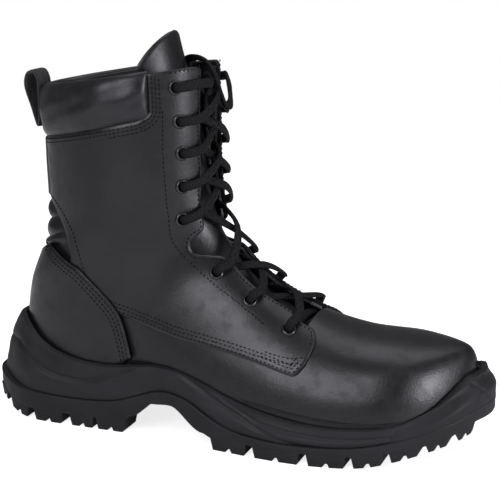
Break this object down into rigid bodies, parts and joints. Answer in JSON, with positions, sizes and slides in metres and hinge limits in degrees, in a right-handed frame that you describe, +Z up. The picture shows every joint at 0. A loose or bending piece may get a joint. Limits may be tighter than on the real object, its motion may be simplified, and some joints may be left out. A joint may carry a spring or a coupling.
{
  "type": "safety boot",
  "caption": "Black leather lace-up safety boot for the right foot, with a lugged sole, padded collar, tongue, heel pull loop and toe cap; protects foot and ankle.",
  "frame": {"origin": "centre of the boot's bounding box, on the ground under the sole", "axes": "+X from heel to toe, -Y the outer side of the foot, +Z up"},
  "size_m": [0.3106, 0.1116, 0.2325],
  "materials": {
    "leather": "smooth black full-grain leather, semi-gloss",
    "soft_leather": "soft black nappa leather over foam",
    "rubber": "black rubber, matt",
    "sole_foam": "black moulded polyurethane, satin",
    "steel": "plain steel",
    "board": "fibre board",
    "footbed_cloth": "black knitted cloth over foam",
    "lining_cloth": "black spacer mesh",
    "padding": "open foam",
    "webbing": "black ribbed webbing",
    "lace_cord": "black braided polyester",
    "aglet_plastic": "clear-black film, wound",
    "eyelet_enamel": "black enamelled brass"
  },
  "bodies": {
    "boot": {"outsole": "rubber", "midsole": "sole_foam", "puncture_plate": "steel", "insole_board": "board", "footbed": "footbed_cloth", "toe_cap": "steel", "heel_stiffener": "board", "vamp": "leather", "vamp_lining": "lining_cloth", "shaft_lining": "lining_cloth", "ankle_padding": "padding", "quarter_outer": "leather", "facing_stay_outer": "leather", "quarter_inner": "leather", "facing_stay_inner": "leather", "heel_pocket": "leather", "achilles_pad": "soft_leather", "back_strip": "leather", "collar": "soft_leather", "tongue": "soft_leather", "lace": "lace_cord", "aglet_outer": "aglet_plastic", "aglet_inner": "aglet_plastic", "eyelet_outer_1": "eyelet_enamel", "eyelet_outer_2": "eyelet_enamel", "eyelet_outer_3": "eyelet_enamel", "eyelet_outer_4": "eyelet_enamel", "eyelet_outer_5": "eyelet_enamel", "eyelet_outer_6": "eyelet_enamel", "eyelet_outer_7": "eyelet_enamel", "eyelet_outer_8": "eyelet_enamel", "eyelet_inner_1": "eyelet_enamel", "eyelet_inner_2": "eyelet_enamel", "eyelet_inner_3": "eyelet_enamel", "eyelet_inner_4": "eyelet_enamel", "eyelet_inner_5": "eyelet_enamel", "eyelet_inner_6": "eyelet_enamel", "eyelet_inner_7": "eyelet_enamel", "eyelet_inner_8": "eyelet_enamel"},
    "loop": {"pull_loop": "webbing"},
    "tip": {"tongue_tip": "soft_leather"}
  },
  "joints": [
    {"name": "loop_fold", "type": "hinge", "parent": "boot", "child": "loop", "pos_m": [-0.1215, 0, 0.173], "axis": [0, -1, 0], "range_deg": [0, 100]},
    {"name": "tongue_fold", "type": "hinge", "parent": "boot", "child": "tip", "pos_m": [-0.0245, 0, 0.195], "axis": [0, 1, 0], "range_deg": [-10, 12]}
  ]
}
